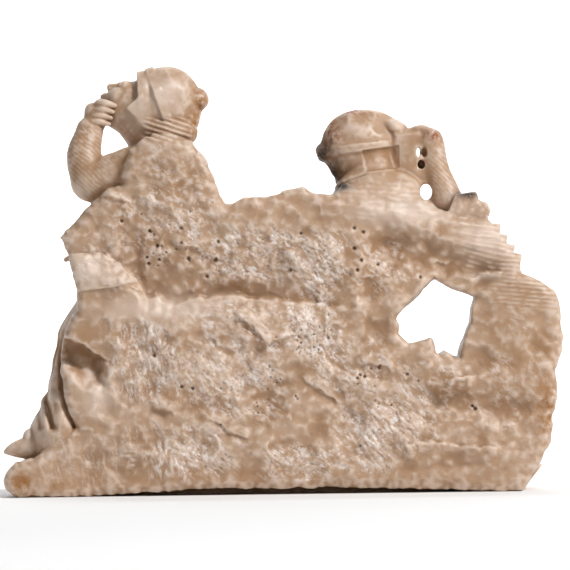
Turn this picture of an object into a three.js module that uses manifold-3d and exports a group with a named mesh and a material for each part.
// A small alabaster group of two draped figures seated back to back, cut from one block of stone.
// Millimetres, +Z up. The rough, unworked back of the block faces -Y and the carved front faces +Y.
// The left figure looks up to the left, its hand at its chin and its feet on the end of the base.
// The right figure faces right with a raised hand, its knees drawn up behind an opening through the block.
// The origin is at the middle of the underside.

import * as THREE from "three";
import { mergeVertices } from "three/addons/utils/BufferGeometryUtils.js";
import Module from "manifold-3d";

const wasm = await Module();
wasm.setup();

// Driving sizes of the block
const WIDTH = 125;
const HEIGHT = 95.8;
const BACK_Y = -16.5; // mean plane of the rough back
const SLAB_FRONT_Y = 0; // where the rough slab ends and the carved figures begin
const FRONT_Y = 18.1; // the front of the base, the furthest that the carved front reaches
const GRID_MM = 3.4; // spacing of the points that shape the rough back
const EDGE_RADIUS = 3.2; // worn edge round the rough back
const FRONT_GRID_MM = 8; // the same for the slab's other face, which the figures mostly cover
const FRONT_EDGE_RADIUS = 7;

// Small helpers

const clamp01 = (t) => Math.min(1, Math.max(0, t));
const smooth = (t) => clamp01(t) ** 2 * (3 - 2 * clamp01(t));
const point = (x, y, z) => new THREE.Vector3(x, y, z);
const UP_Y = point(0, 1, 0);

// The height of a line through [x, z] points, with smooth steps between them.
function alongLine(points, x) {
  if (x <= points[0][0]) return points[0][1];
  for (let i = 1; i < points.length; i += 1) {
    const [x0, z0] = points[i - 1];
    const [x1, z1] = points[i];
    if (x <= x1) return z0 + (z1 - z0) * smooth((x - x0) / (x1 - x0));
  }
  return points.at(-1)[1];
}

// How far (x, z) is from the segment a-b, and how far along it, from 0 to 1.
function fromSegment(x, z, [ax, az], [bx, bz]) {
  const dx = bx - ax;
  const dz = bz - az;
  const t = clamp01(((x - ax) * dx + (z - az) * dz) / (dx * dx + dz * dz));
  return { distance: Math.hypot(x - ax - t * dx, z - az - t * dz), t };
}

// A three.js geometry as a closed solid, ready to be joined and cut.
function solid(geometry) {
  const bare = geometry.clone();
  bare.deleteAttribute("normal");
  bare.deleteAttribute("uv");
  const merged = mergeVertices(bare, 1e-4);
  return new wasm.Manifold(
    new wasm.Mesh({
      numProp: 3,
      vertProperties: merged.attributes.position.array,
      triVerts: new Uint32Array(merged.index.array),
    }),
  );
}

// A solid back as a three.js geometry.
function geometryOf(made) {
  const mesh = made.getMesh();
  const geometry = new THREE.BufferGeometry();
  geometry.setAttribute("position", new THREE.BufferAttribute(mesh.vertProperties.slice(), mesh.numProp));
  geometry.setIndex(new THREE.BufferAttribute(mesh.triVerts.slice(), 1));
  geometry.computeVertexNormals();
  return geometry;
}

const join = (solids) => solids.reduce((all, next) => all.add(next));
const cut = (body, tools) => tools.reduce((left, tool) => left.subtract(tool), body);

// Moves every corner of a geometry by a function of its place.
function sculpt(geometry, move) {
  const position = geometry.attributes.position;
  const corner = new THREE.Vector3();
  for (let i = 0; i < position.count; i += 1) {
    corner.fromBufferAttribute(position, i);
    move(corner);
    position.setXYZ(i, corner.x, corner.y, corner.z);
  }
  return geometry;
}

// An ellipsoid about a centre. lean turns it about Y, in degrees, and dip about X.
function ellipsoid(centre, radii, { lean = 0, dip = 0, around = 16, rings = 11 } = {}) {
  const ball = new THREE.SphereGeometry(1, around, rings);
  ball.scale(...radii);
  ball.rotateX(THREE.MathUtils.degToRad(dip));
  ball.rotateY(THREE.MathUtils.degToRad(lean));
  ball.translate(...centre);
  return solid(ball);
}

// A limb: a ball drawn out along a smooth line through its joints, with a radius at each joint.
function limb(joints, radii, { sides = 10, rings = 9 } = {}) {
  const line = new THREE.CatmullRomCurve3(joints);
  const length = line.getLength();
  const first = radii[0];
  const last = radii.at(-1);
  const ball = new THREE.SphereGeometry(1, sides, rings);
  sculpt(ball, (corner) => {
    const reach = ((1 - corner.y) / 2) * (length + first + last) - first;
    const u = clamp01(reach / length);
    const t = line.getUtoTmapping(u) * (joints.length - 1);
    const i = Math.min(joints.length - 2, Math.floor(t));
    let radius = THREE.MathUtils.lerp(radii[i], radii[i + 1], smooth(t - i));
    if (reach < 0) radius = Math.sqrt(Math.max(0, first ** 2 - reach ** 2));
    if (reach > length) radius = Math.sqrt(Math.max(0, last ** 2 - (reach - length) ** 2));
    const along = line.getTangentAt(u);
    const across = new THREE.Vector3().crossVectors(along, UP_Y).normalize();
    const over = new THREE.Vector3().crossVectors(along, across);
    const angle = Math.atan2(corner.z, corner.x);
    const centre = line.getPointAt(u).addScaledVector(along, reach - u * length);
    corner.copy(centre);
    corner.addScaledVector(across, radius * Math.cos(angle));
    corner.addScaledVector(over, radius * Math.sin(angle));
  });
  return solid(ball);
}

// An outline in the XZ plane pushed along Y from y0 to y1, with its edges rounded by round.
function plate(shape, y0, y1, round = 0) {
  const made = new THREE.ExtrudeGeometry(shape, {
    depth: y1 - y0 - 2 * round,
    bevelEnabled: round > 0,
    bevelSize: round,
    bevelThickness: round,
    bevelOffset: -round,
    bevelSegments: 2,
  });
  made.rotateX(Math.PI / 2);
  made.translate(0, y1 - round, 0);
  return solid(made);
}

// The outline of the slab, read round from the left figure's shoulder. Each stretch is [x, z] points.

const SHOULDER_CREST = [[-34.8, 72.8], [-33, 76.7], [-30.5, 79.1], [-27.4, 80.3], [-23.8, 79.7]];
const LEFT_FIGURE_BACK = [[-20.3, 78.6], [-18.5, 77], [-16.8, 74.9], [-14.9, 70.1], [-13.1, 65.6], [-12.2, 64.6]];
const SADDLE = [[-10.7, 64.4], [-8.2, 66], [-3.3, 65.9], [-0.6, 66.5], [2.3, 67.6], [5.2, 68], [8, 66.6]];
const RIGHT_SHOULDER = [[11.8, 66.1], [14.3, 68.6], [26.5, 68.8], [30, 65.7], [38.8, 60.9], [45.7, 60.6]];
const KNEE_TOP = [[53, 48.1], [55.1, 47.6], [57.8, 46], [60.2, 44.5], [61.3, 42.6], [61.6, 37], [62.3, 34.4]];
const SHIN_EDGE = [[61.8, 31.3], [60.3, 26.6], [60.8, 20.8], [59.5, 15.7], [59.1, 11.1], [56.6, 6.4]];
const SHIN_FOOT = [[53.6, 1.2]];
const BASE_END = [[-60.6, 0.6], [-61.9, 2], [-62.3, 3.8], [-61.2, 6], [-59.6, 7.9], [-55.6, 8.8]];
const FOLD_EDGE = [[-49.8, 12.5], [-46.2, 15.8], [-48.3, 21.4], [-47.4, 24.7], [-45.2, 26.7]];
const SCOOP_EDGE = [[-41.8, 27.5], [-39.6, 29.5], [-42, 31.5], [-45.1, 33.3], [-47.5, 34.9]];
const KNEE_EDGE = [[-47.5, 38.5], [-45.9, 40.9], [-45.6, 45.8], [-47, 53.4], [-49.2, 57.4], [-45.8, 60.9]];
const ARMPIT = [[-42, 64.9], [-39, 67.6], [-35.6, 69]];

// The sleeve's edge steps down to the knee in worn folds.
const SLEEVE_TOP = [46.9, 59.2];
const SLEEVE_FOOT = [52.9, 50.5];
const SLEEVE_FOLDS = 4;
const FOLD_TOOTH = 1.1; // how far each fold stands out

// A place on the sleeve's edge, t of the way down it.
const onSleeve = (t) => SLEEVE_TOP.map((from, axis) => THREE.MathUtils.lerp(from, SLEEVE_FOOT[axis], t));

function sleeveTeeth() {
  const teeth = [];
  for (let i = 0; i < SLEEVE_FOLDS; i += 1) {
    const [x, z] = onSleeve((i + 0.35) / SLEEVE_FOLDS);
    teeth.push(onSleeve(i / SLEEVE_FOLDS), [x + FOLD_TOOTH, z + 0.5]);
  }
  return [...teeth, SLEEVE_FOOT];
}

// The underside stands on both ends and is hollowed a little between them.
const RIGHT_FOOT = [[52.6, 0], [46, 0]];
const LEFT_FOOT = [[-44, 0], [-58, 0]];
const UNDERSIDE_RISE = 1.4;

function undersideArch(steps = 6) {
  const from = RIGHT_FOOT[1][0];
  const to = LEFT_FOOT[0][0];
  const arch = [];
  for (let i = 1; i < steps; i += 1) {
    const t = i / steps;
    arch.push([THREE.MathUtils.lerp(from, to, t), UNDERSIDE_RISE * Math.sin(Math.PI * t) ** 0.7]);
  }
  return arch;
}

const OUTLINE = [
  ...SHOULDER_CREST,
  ...LEFT_FIGURE_BACK,
  ...SADDLE,
  ...RIGHT_SHOULDER,
  ...sleeveTeeth(),
  ...KNEE_TOP,
  ...SHIN_EDGE,
  ...SHIN_FOOT,
  ...RIGHT_FOOT,
  ...undersideArch(),
  ...LEFT_FOOT,
  ...BASE_END,
  ...FOLD_EDGE,
  ...SCOOP_EDGE,
  ...KNEE_EDGE,
  ...ARMPIT,
];

// The opening between the right figure's body, arm and shin.
const OPENING_ARM_SIDE = [[33.8, 47.2], [37.3, 45.1], [40.6, 44], [42.8, 43]];
const OPENING_SHIN_SIDE = [[41.9, 40.4], [41.6, 37.3], [39.8, 32.9], [39.1, 29.9]];
const OPENING_BROKEN_EDGE = [[38, 30], [36.2, 31.2], [34.8, 30.3], [33.8, 31], [33.2, 34.2], [29.6, 33.1]];
const OPENING_BODY_SIDE = [[28, 32.9], [25.6, 35.3], [25.9, 37], [25.2, 38.6], [25.4, 39.4], [29.5, 43.2]];
const OPENING = [...OPENING_ARM_SIDE, ...OPENING_SHIN_SIDE, ...OPENING_BROKEN_EDGE, ...OPENING_BODY_SIDE];

const shapeOf = (points) => new THREE.Shape(points.map(([x, z]) => new THREE.Vector2(x, z)));

function isInside(loop, x, z) {
  let inside = false;
  loop.forEach(([ax, az], i) => {
    const [bx, bz] = loop[(i + 1) % loop.length];
    if (az > z !== bz > z && x < ax + ((bx - ax) * (z - az)) / (bz - az)) inside = !inside;
  });
  return inside;
}

// How far (x, z) lies inside the edge of the slab. Outside the slab and in its opening it is 0.
function insideEdge(x, z) {
  if (!isInside(OUTLINE, x, z) || isInside(OPENING, x, z)) return 0;
  let nearest = Infinity;
  for (const loop of [OUTLINE, OPENING]) {
    loop.forEach((a, i) => {
      nearest = Math.min(nearest, fromSegment(x, z, a, loop[(i + 1) % loop.length]).distance);
    });
  }
  return nearest;
}

// The rough back. Heights are in millimetres towards the viewer.

// A long hollow falls away under both backs and ends below on a ledge.
const LEDGE_START = [[-49.3, 54.3], [-39.3, 53.7], [-36, 51.7], [-32.7, 48.5]];
const LEDGE_END = [[-29.4, 45.1], [-23.8, 43.9], [3.9, 43.1], [14, 41.7]];
const LEDGE_LINE = [...LEDGE_START, ...LEDGE_END];
const LEDGE_DEPTH = [[-48, 0.8], [-38, 1.4], [-30, 3.2], [-8, 3.2], [4, 1.8], [18, 0]];
const HOLLOW_REACH = 20;
const LEDGE_REACH = 3;

function longHollow(x, z) {
  const above = z - alongLine(LEDGE_LINE, x);
  const depth = alongLine(LEDGE_DEPTH, x);
  if (above < 0) return -depth * (1 - smooth(-above / LEDGE_REACH));
  return -depth * (1 - smooth(above / HOLLOW_REACH));
}

// Bosses and hollows left by the point chisel: [x, z, half width, half height, height].
const CHISEL_MARKS = [
  [-25, 71, 11, 10, 1.2],
  [-37, 47, 8, 5, 0.8],
  [-20, 38, 24, 5, 0.9],
  [-4, 34.6, 6, 2.4, -1],
  [21, 36, 5, 3, -1.2],
  [-33, 24, 5, 4, -0.8],
  [13, 17, 5, 4, -0.9],
  [-9, 12, 8, 4, 0.7],
  [36, 20, 7, 3, -1.4],
  [49, 18.5, 6, 3, -1.5],
  [41, 23, 5, 2.5, 0.8],
  [58, 32, 4, 4, -1.4],
  [49, 29, 6, 3, -0.8],
  [25, 12, 9, 4, 0.6],
  [-41, 6, 10, 5, -1.6],
  [46, 9, 8, 4, 0.7],
];

// A straight hollow under the sleeve, above the opening.
const SLEEVE_SHADE = { from: [23, 55.5], to: [43, 48.5], halfWidth: 4, depth: 2.6 };

// The scoop at the left edge that lets the drapery's side show.
const SCOOP = { centre: [-46, 30], halfWidth: 7, halfHeight: 5.5, depth: 5.5 };

// The right shoulder and sleeve lean back towards the neck above this line.
const SHOULDER_LINE = [[10, 64.5], [52, 52.5]];
const SHOULDER_LEAN = 0.42;

function backHeight(x, z) {
  let height = longHollow(x, z);
  for (const [cx, cz, rx, rz, up] of CHISEL_MARKS) {
    height += up * Math.exp(-(((x - cx) / rx) ** 2) - ((z - cz) / rz) ** 2);
  }
  const shade = fromSegment(x, z, SLEEVE_SHADE.from, SLEEVE_SHADE.to);
  height -= SLEEVE_SHADE.depth * Math.exp(-((shade.distance / SLEEVE_SHADE.halfWidth) ** 2));
  const [sx, sz] = SCOOP.centre;
  height -= SCOOP.depth * Math.exp(-(((x - sx) / SCOOP.halfWidth) ** 4) - ((z - sz) / SCOOP.halfHeight) ** 4);
  if (x > SHOULDER_LINE[0][0]) {
    height -= SHOULDER_LEAN * Math.max(0, z - alongLine(SHOULDER_LINE, x));
  }
  height += 0.45 * Math.sin(x * 0.71 + 1.3 * Math.sin(z * 0.37)) * Math.sin(z * 0.64 + 0.9);
  height += 0.25 * Math.sin(x * 1.37 + z * 0.9) * Math.sin(z * 1.21 - x * 0.4);
  return height - edgeFall(x, z, EDGE_RADIUS);
}

// How far a face falls away at (x, z) when its edges are worn round.
function edgeFall(x, z, radius) {
  const out = 1 - clamp01(insideEdge(x, z) / radius);
  return 0.8 * radius * (1 - Math.sqrt(1 - out ** 2));
}

// A block of waste stone whose one face follows a surface, y by (x, z). side is -1 for the rough back.
function waste(side, gridMm, surface) {
  const wide = WIDTH + 6;
  const tall = HEIGHT - 12;
  const far = side * 40;
  const thick = 12;
  const cells = (span) => Math.round(span / gridMm);
  const block = new THREE.BoxGeometry(wide, thick, tall, cells(wide), 1, cells(tall));
  block.translate(0, far, tall / 2 - 1.1);
  sculpt(block, (corner) => {
    if (corner.y * side < Math.abs(far)) corner.y = surface(corner.x, corner.z);
  });
  return solid(block);
}

// The slab, with the waste in front of and behind it taken off.
function roughSlab() {
  const back = waste(-1, GRID_MM, (x, z) => BACK_Y - backHeight(x, z));
  const front = waste(1, FRONT_GRID_MM, (x, z) => SLAB_FRONT_Y - edgeFall(x, z, FRONT_EDGE_RADIUS));
  return cut(plate(shapeOf(OUTLINE), BACK_Y - 6, SLAB_FRONT_Y + 1), [back, front]);
}

// A plain carved face: an egg with a brow, a nose, lips and a chin, in units of its own height.
// facing and up are directions in the XZ plane. turn is in degrees about up.
function plainFace({ centre, facing, up, height, turn }) {
  const top = point(up[0], 0, up[1]).normalize();
  const front = point(facing[0], 0, facing[1]).applyAxisAngle(top, THREE.MathUtils.degToRad(turn));
  front.normalize();
  const side = new THREE.Vector3().crossVectors(front, top);
  const frame = new THREE.Matrix4().makeBasis(side, front, top);
  frame.scale(point(height, height, height));
  frame.setPosition(centre);
  const at = (s, f, u) => point(s, f, u).applyMatrix4(frame);
  const egg = new THREE.SphereGeometry(1, 14, 9);
  sculpt(egg, (corner) => {
    const jaw = 1 - 0.24 * clamp01(-corner.z);
    corner.set(corner.x * 0.36 * jaw, corner.y * 0.42, corner.z * 0.53);
    corner.applyMatrix4(frame);
  });
  const bar = (from, to, r0, r1) => limb([from, to], [r0 * height, r1 * height], { sides: 6, rings: 4 });
  const nose = bar(at(0, 0.385, 0.15), at(0, 0.455, -0.08), 0.03, 0.07);
  const brow = bar(at(-0.15, 0.345, 0.17), at(0.15, 0.345, 0.17), 0.05, 0.05);
  const lips = bar(at(-0.06, 0.35, -0.25), at(0.06, 0.35, -0.25), 0.05, 0.05);
  const chin = bar(at(-0.04, 0.24, -0.42), at(0.04, 0.24, -0.42), 0.11, 0.11);
  return join([solid(egg), nose, brow, lips, chin]);
}

// A flat band round a cap: an oval disc across X that leans over by lean degrees about Y.
function capBand({ centre, radiusY, radius, width, lean }) {
  const disc = new THREE.CylinderGeometry(1, 1, width, 20);
  disc.rotateZ(Math.PI / 2);
  disc.scale(1, radiusY, radius);
  disc.rotateY(THREE.MathUtils.degToRad(lean));
  disc.translate(...centre);
  return solid(disc);
}

// The left figure

const LEFT = {
  skull: [-25.3, -3.5, 87],
  face: point(-34, -3.5, 86.8),
  neck: [point(-33.4, -3.5, 84.6), point(-28.6, -3.5, 79.5), point(-27, -3, 72)],
  shoulder: point(-33.4, -9.4, 72.5),
  elbow: point(-42.2, -8.6, 69.8),
  forearm: point(-43.4, -7.4, 75.4),
  wrist: point(-41.9, -6, 81.4),
  knuckles: point(-40.4, -5, 85.3),
  fingers: point(-37.6, -4.2, 86.6),
  farShoulder: point(-27, 8, 73),
  farElbow: point(-29, 12.5, 58),
  farWrist: point(-41, 9.5, 55.2),
  farHand: [-45, 8, 54.4],
  hip: point(-21, 5, 41),
  knee: point(-38.6, 6, 49),
};

function leftHead() {
  const skull = ellipsoid(LEFT.skull, [7.9, 6.6, 8.4], { around: 16, rings: 10 });
  const face = plainFace({ centre: LEFT.face, facing: [-0.5, 0.87], up: [0.87, 0.5], height: 12, turn: -8 });
  const neck = limb(LEFT.neck, [4.4, 5.6, 6.6], { rings: 7 });
  const frontBand = { centre: [-30.2, -3.5, 87.4], radiusY: 6, radius: 7, width: 2.2, lean: -4 };
  const rearBand = { centre: [-26.2, -3.5, 87], radiusY: 7.2, radius: 8.7, width: 2, lean: -19 };
  const nape = limb([point(-29.5, -7, 81.8), point(-21.4, -6.4, 80.6)], [1.8, 2.2], { sides: 7, rings: 6 });
  const brokenKnot = [
    ellipsoid([-17.8, -3.6, 87.8], [2.2, 3.2, 2.4], { around: 7, rings: 5 }),
    ellipsoid([-20.2, -3.4, 82.4], [2.7, 4, 4.4], { lean: 22, around: 7, rings: 5 }),
  ];
  return join([skull, face, neck, capBand(frontBand), capBand(rearBand), nape, ...brokenKnot]);
}

function leftNearArm() {
  const upper = limb([LEFT.shoulder, LEFT.elbow], [5, 4.3], { rings: 6 });
  const lower = [LEFT.elbow, LEFT.forearm, LEFT.wrist, LEFT.knuckles, LEFT.fingers];
  return upper.add(limb(lower, [4.3, 3.8, 2.7, 2.5, 2], { rings: 12 }));
}

function leftFarSide() {
  const torso = ellipsoid([-25, 1, 57.5], [10.5, 12, 21], { lean: 9, around: 12, rings: 8 });
  const hips = ellipsoid([-20, 3, 38], [12, 12, 11], { around: 12, rings: 8 });
  const arm = limb([LEFT.farShoulder, LEFT.farElbow, LEFT.farWrist], [5, 4, 2.6], { sides: 8, rings: 9 });
  const hand = ellipsoid(LEFT.farHand, [3.6, 2.4, 1.9], { around: 8, rings: 5, lean: 10 });
  const thigh = limb([LEFT.hip, LEFT.knee], [9.5, 7.4], { sides: 10, rings: 6 });
  return join([torso, hips, arm, hand, thigh]);
}

// The skirt over the shins: stacked rings, with folds that sweep down and round to the hem.
const SKIRT_TOP = 47;
const SKIRT_HEM = 9.5;
const SKIRT_LEFT_EDGE = [[9, -56.6], [14.6, -56.7], [21, -54], [24, -52.4], [35, -50.1], [47, -44.6]];
const SKIRT_HALF_WIDTH = 7.4;
const SKIRT_HALF_DEPTH = 12;
const SKIRT_FOLDS = 9;
const FOLD_DEPTH = 0.09; // as a share of the skirt's radius

function skirt() {
  const tall = SKIRT_TOP - SKIRT_HEM;
  const tube = new THREE.CylinderGeometry(1, 1, tall, 26, 9);
  tube.rotateX(Math.PI / 2);
  tube.translate(0, 0, (SKIRT_TOP + SKIRT_HEM) / 2);
  sculpt(tube, (corner) => {
    const round = Math.atan2(corner.y, -corner.x);
    const down = (SKIRT_TOP - corner.z) / tall;
    const ripple = Math.sin(round * SKIRT_FOLDS + down * 7) - 1;
    const out = Math.hypot(corner.x, corner.y) * (1 + FOLD_DEPTH * smooth(0.3 + down) * ripple);
    const middle = alongLine(SKIRT_LEFT_EDGE, corner.z) + SKIRT_HALF_WIDTH;
    corner.x = middle - Math.cos(round) * SKIRT_HALF_WIDTH * out;
    corner.y = 0.6 + Math.sin(round) * SKIRT_HALF_DEPTH * out;
  });
  return solid(tube);
}

function leftFeet() {
  const near = limb([point(-61.2, -6.5, 10.1), point(-55.5, -6.5, 11)], [0.9, 3], { rings: 6 });
  const far = limb([point(-60.4, 5, 9.8), point(-53, 5, 11)], [1.3, 3.4], { rings: 6 });
  const hem = ellipsoid([-56.6, -5.4, 13.9], [1.9, 3.4, 0.9], { lean: 12, around: 8, rings: 5 });
  return join([near, far, hem]);
}

// The right figure

const RIGHT = {
  skull: [17.5, -3.5, 77.2],
  face: point(24.2, -3, 76.3),
  neck: [point(21, -3.5, 74), point(21, -3.5, 63)],
  fingers: point(30.4, -5, 79.3),
  hand: point(34, -6, 78.3),
  forearm: point(35.1, -7, 71.5),
  elbow: point(37.3, -8, 65.6),
  farShoulder: point(21, 8, 64),
  farElbow: point(33, 12.5, 53.5),
  farWrist: point(48, 10, 49.6),
  farHand: [52, 9, 48.2],
  hip: point(20, 4, 20),
  knee: point(53.5, 4, 37),
  ankle: point(50.5, 6, 7),
};

function rightHead() {
  const skull = ellipsoid(RIGHT.skull, [8.4, 6.8, 8], { around: 16, rings: 10 });
  const face = plainFace({ centre: RIGHT.face, facing: [0.99, 0.1], up: [-0.1, 0.99], height: 12, turn: 14 });
  const hair = ellipsoid([20, -3.5, 73.2], [7.2, 5.6, 4.2], { around: 12, rings: 7 });
  const neck = limb(RIGHT.neck, [5.4, 6.6], { rings: 5 });
  const rim = capBand({ centre: [17.8, -3.5, 76.6], radiusY: 7.3, radius: 8.6, width: 1.8, lean: 84 });
  const brokenKnot = ellipsoid([10, -3.6, 75.8], [2.2, 3, 2.2], { around: 7, rings: 5 });
  const brokenLock = limb([point(12, -4, 73.4), point(15, -4.5, 67.4)], [2.4, 2.6], { sides: 7, rings: 5 });
  return join([skull, face, hair, neck, rim, brokenKnot, brokenLock]);
}

// The raised arm is broken off at the elbow. A web of stone still ties its hand to the face.
const ELBOW_TOP = [[37, 62], [38.6, 65.9], [43.3, 66.4], [43.7, 64.6]];
const ELBOW_END = [[45.8, 63.9], [46.5, 62.2], [45.4, 59.6], [40, 59.6]];
const WEB = [[25.5, 79.6], [31, 80.4], [34.6, 76], [35, 70], [38, 64], [37, 60.5], [30, 63], [25.5, 68]];

function rightNearArm() {
  const joints = [RIGHT.fingers, RIGHT.hand, RIGHT.forearm, RIGHT.elbow];
  const arm = limb(joints, [2.1, 2.6, 2.8, 3.3], { rings: 12 });
  const stump = plate(shapeOf([...ELBOW_TOP, ...ELBOW_END]), -12.4, -5);
  const web = plate(shapeOf(WEB), -8.4, -1.5, 0.9);
  return join([arm, stump, web]);
}

function rightFarSide() {
  const torso = ellipsoid([18, 1, 47.5], [10.5, 12, 21], { lean: 2, around: 12, rings: 8 });
  const hips = ellipsoid([17, 3, 24], [12.5, 12.5, 12], { around: 12, rings: 8 });
  const arm = limb([RIGHT.farShoulder, RIGHT.farElbow, RIGHT.farWrist], [5, 3.8, 2.5], { sides: 8, rings: 9 });
  const hand = ellipsoid(RIGHT.farHand, [3.6, 2.4, 1.8], { around: 8, rings: 5, lean: 14 });
  const thigh = limb([RIGHT.hip, RIGHT.knee], [9, 7.2], { sides: 10, rings: 6 });
  const shin = limb([RIGHT.knee, RIGHT.ankle], [8, 6], { sides: 10, rings: 6 });
  const foot = limb([point(48, 8.6, 7.4), point(54.4, 10.4, 6.4)], [3, 1.8], { rings: 6 });
  return join([torso, hips, arm, hand, thigh, shin, foot]);
}

// Raised folds that run in from the sleeve's edge.
function sleeveRidges() {
  const ridges = [];
  for (let i = 0; i < SLEEVE_FOLDS; i += 1) {
    const [x, z] = onSleeve((i + 0.35) / SLEEVE_FOLDS);
    const onBack = (atX, atZ, sink) => point(atX, BACK_Y - backHeight(atX, atZ) + sink, atZ);
    const run = [onBack(x - 1.6, z, 0.9), onBack(x - 12, z + 0.8, 0.6)];
    ridges.push(limb(run, [1.5, 0.7], { sides: 6, rings: 4 }));
  }
  return join(ridges);
}

// The seat between the two figures and the low base under the feet

const BASE_PROFILE = [[-58, 0], [-61, 2.4], [-60.6, 5.8], [-57, 8.2], [40, 6.4], [57.5, 5.6], [52.3, 0]];
const SEAT_PROFILE = [[-37, 4], [-34, 20], [-31, 29], [-8, 31], [10, 22], [30, 16], [33, 4]];
const REST_PROFILE = [[-18, 26], [-15, 50], [-11, 61], [-2, 63], [6, 61], [13, 50], [14, 26]];

function seatAndBase() {
  const seat = plate(shapeOf(SEAT_PROFILE), SLAB_FRONT_Y - 6, 12.5, 2.4);
  const rest = plate(shapeOf(REST_PROFILE), SLAB_FRONT_Y - 6, 5.5, 2.4);
  const base = plate(shapeOf(BASE_PROFILE), SLAB_FRONT_Y - 6, FRONT_Y, 1);
  return join([seat, rest, base]);
}

// The pierced places: the opening through the block and the drill holes by the right figure's hand.
function pierced() {
  const drill = (x, z, rx, rz, deep) => {
    const bit = new THREE.CylinderGeometry(1, 1, deep, 10);
    bit.scale(rx, 1, rz);
    bit.translate(x, BACK_Y + deep / 2 - 2, z);
    return solid(bit);
  };
  return [
    plate(shapeOf(OPENING), BACK_Y - 8, FRONT_Y + 8),
    drill(32.3, 66.6, 1.4, 1.8, 60),
    drill(31.3, 72.7, 0.8, 1, 13),
    drill(30.7, 75.5, 0.4, 1.1, 60),
  ];
}

function figureGroup() {
  const carved = join([
    roughSlab(),
    leftHead(),
    leftNearArm(),
    leftFarSide(),
    skirt(),
    leftFeet(),
    rightHead(),
    rightNearArm(),
    rightFarSide(),
    sleeveRidges(),
    seatAndBase(),
  ]);
  const ground = new THREE.BoxGeometry(2 * WIDTH, 4 * FRONT_Y, HEIGHT);
  ground.translate(0, 0, -HEIGHT / 2);
  return cut(carved, [...pierced(), solid(ground)]);
}

const alabaster = new THREE.MeshStandardMaterial({ color: 0xd6bfa6, roughness: 0.55, metalness: 0 });

// The origin goes to the middle of the underside.
const carving = geometryOf(figureGroup());
carving.computeBoundingBox();
const middle = carving.boundingBox.getCenter(new THREE.Vector3());
carving.translate(-middle.x, -middle.y, -carving.boundingBox.min.z);

const group = new THREE.Group();
const mesh = new THREE.Mesh(carving, alabaster);
mesh.name = "figure_group";
group.add(mesh);

export default group;
